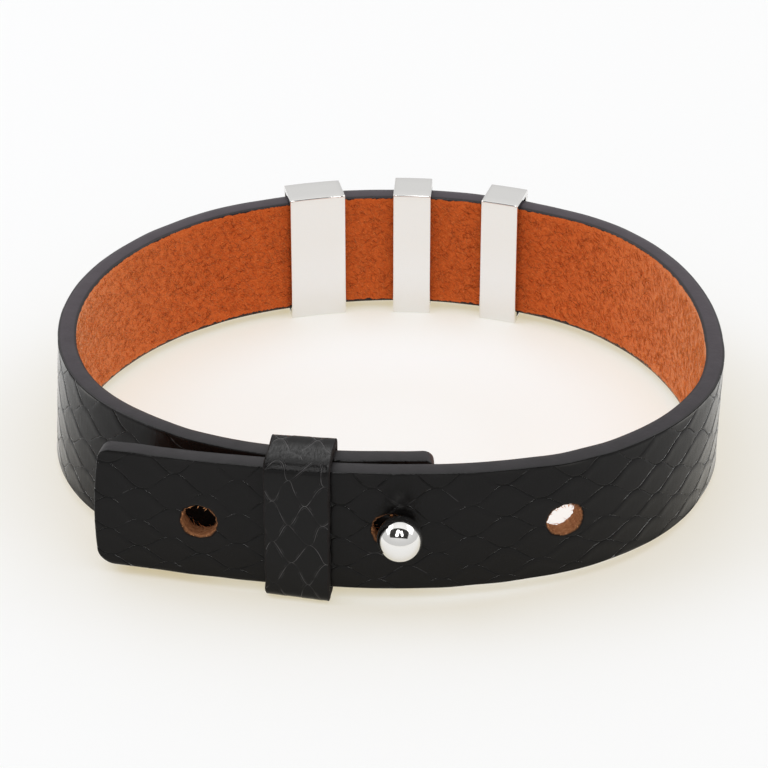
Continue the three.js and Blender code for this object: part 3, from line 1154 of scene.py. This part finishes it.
# %% Metal finish
def metal_wiring():
    place = Wire.node("ShaderNodeTexCoord", None, None, "Object")
    wave = noise(place, 260.0, 2.0)
    scratches = noise(stretched(place, 900.0, 900.0, 9000.0), 1.0, 3.0, 0.6)
    return principled({
        "Base Color": (0.86, 0.85, 0.83, 1),
        "Metallic": 1.0,
        "Roughness": step_between(0.45, 0.75, scratches) * 0.05 + 0.07,
        "Normal": bumped(wave + scratches * 0.02, 0.02),
    })


polished_metal = finish("polished_metal", metal_wiring)

# %% [markdown]
# ## The ball stud
#
# The stud is turned in one: a flat plate behind the inner layer, a thin neck through both layers
# and the ball that the strap buttons over. Half its outline, from the plate's back to the top of
# the ball, is spun round its axis.

# %% Ball stud mesh
def spun(outline, count, place, axis, side, other):
    """Points and faces of an outline of (radius, height) pairs spun round an axis."""
    turn = np.linspace(0, 2 * math.pi, count, endpoint=False)
    radius, height = outline[1:-1, 0], outline[1:-1, 1]
    around = np.cos(turn)[:, None] * side + np.sin(turn)[:, None] * other
    body = place + height[:, None, None] * axis + radius[:, None, None] * around
    poles = [place + outline[0, 1] * axis, place + outline[-1, 1] * axis]
    points = np.concatenate([body.reshape(-1, 3), poles])
    rings = np.arange(len(radius) * count).reshape(len(radius), count)
    faces = list(rings_to_quads(rings))
    bottom, top = len(points) - 2, len(points) - 1
    following = np.roll(np.arange(count), -1)
    faces += [(bottom, rings[0, k], rings[0, n]) for k, n in enumerate(following)]
    faces += [(top, rings[-1, n], rings[-1, k]) for k, n in enumerate(following)]
    return points, faces


def fillet(corner, before, after, count=5):
    """A small rounding that leaves a corner by these two offsets."""
    t, corner = np.linspace(0, 1, count)[:, None], np.array(corner)
    return (1 - t) ** 2 * (corner + before) + 2 * t * (1 - t) * corner + t ** 2 * (corner + after)


ball_centre = half_thickness + STUD["stand"]
seat = half_thickness - 2 * STRAP["thickness"] - LAYER_GAP - STUD["plate_gap"]
back = seat - STUD["plate_thickness"]
join = math.asin(STUD["neck"] / STUD["ball"])
sweep = np.linspace(join, math.pi, 40)[1:]
ball_curve = np.stack([STUD["ball"] * np.sin(sweep), ball_centre - STUD["ball"] * np.cos(sweep)], -1)
neck_top = ball_centre - STUD["ball"] * math.cos(join)
stud_outline = np.concatenate([
    [(0, back), (1.0, back)],
    fillet((STUD["plate"], back), (-0.15, 0), (0, 0.15)),
    fillet((STUD["plate"], seat), (0, -0.15), (-0.15, 0)),
    fillet((STUD["neck"], seat), (0.12, 0), (0, 0.12)),
    fillet((STUD["neck"], neck_top), (0, -0.1), (0.06, 0.02)),
    ball_curve,
])
middle, along, outwards, upwards = axes_at(STUD["at"])
stud_points, stud_faces = spun(stud_outline, 56, middle + STUD["up"] * upwards, outwards, along, upwards)
ball_stud = make_piece("ball_stud", stud_points, stud_faces, [polished_metal])
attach(ball_stud, "band")
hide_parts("ball_stud")

# %% [markdown]
# ## The sliders
#
# Each slider is a short piece of bare rectangular tube, slightly bent to follow the strap. At each
# step along the strap there are two loops, the outside and the bore. The outer edges are only just
# rounded, so the folds read as crisp bright lines.

# %% Slider meshes
SLIDER = {"height": 13.4, "bore": (2.3, 12.5), "corner": 0.14, "bevel": 0.04}
SLIDERS = [  # name, body it rides, station, width, depth
    ("slider_wide", "wide_slider", -7.6, 5.5, 3.4),
    ("slider_middle", "middle_slider", 2.2, 3.7, 3.8),
    ("slider_right", "right_slider", 11.4, 3.7, 3.7),
]


def slider_loops(width, depth):
    """Loops from one end of a tube to the other along the outside, and back along the bore."""
    bevel = SLIDER["bevel"]
    outside, out_ways, _ = rounded_loop(depth, SLIDER["height"], SLIDER["corner"], (16, 4), 7)
    steps = np.linspace(-1, 1, 13) * (width / 2 - bevel)
    far, near = width / 2, width / 2 - bevel * 0.7
    ends = [(-far, bevel), (-near, bevel * 0.3), *((s, 0) for s in steps), (near, bevel * 0.3), (far, bevel)]
    inside = outside * (SLIDER["bore"][0] / depth, SLIDER["bore"][1] / SLIDER["height"])
    loops = [(s, outside - out_ways * inset) for s, inset in ends]
    return loops + [(s, inside) for s in (far, *steps[::-1], -far)]


for name, body, station, width, depth in SLIDERS:
    loops = slider_loops(width, depth)
    s = np.array([[s] * len(loop) for s, loop in loops])[..., None]
    n, v = [np.array([loop[:, k] for _, loop in loops])[..., None] for k in (0, 1)]
    centre, along, outwards, upwards = axes_at(station, MID_HEIGHT["back"])
    bend = s ** 2 / 2 / BACK_RADIUS
    points = (centre + s * along + (n - bend) * outwards + v * upwards).reshape(-1, 3)
    rings = np.arange(s.size).reshape(s.shape[:2])
    slider = make_piece(name, points, rings_to_quads(rings, closed_ends=True), [polished_metal])
    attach(slider, body)
    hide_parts(name)
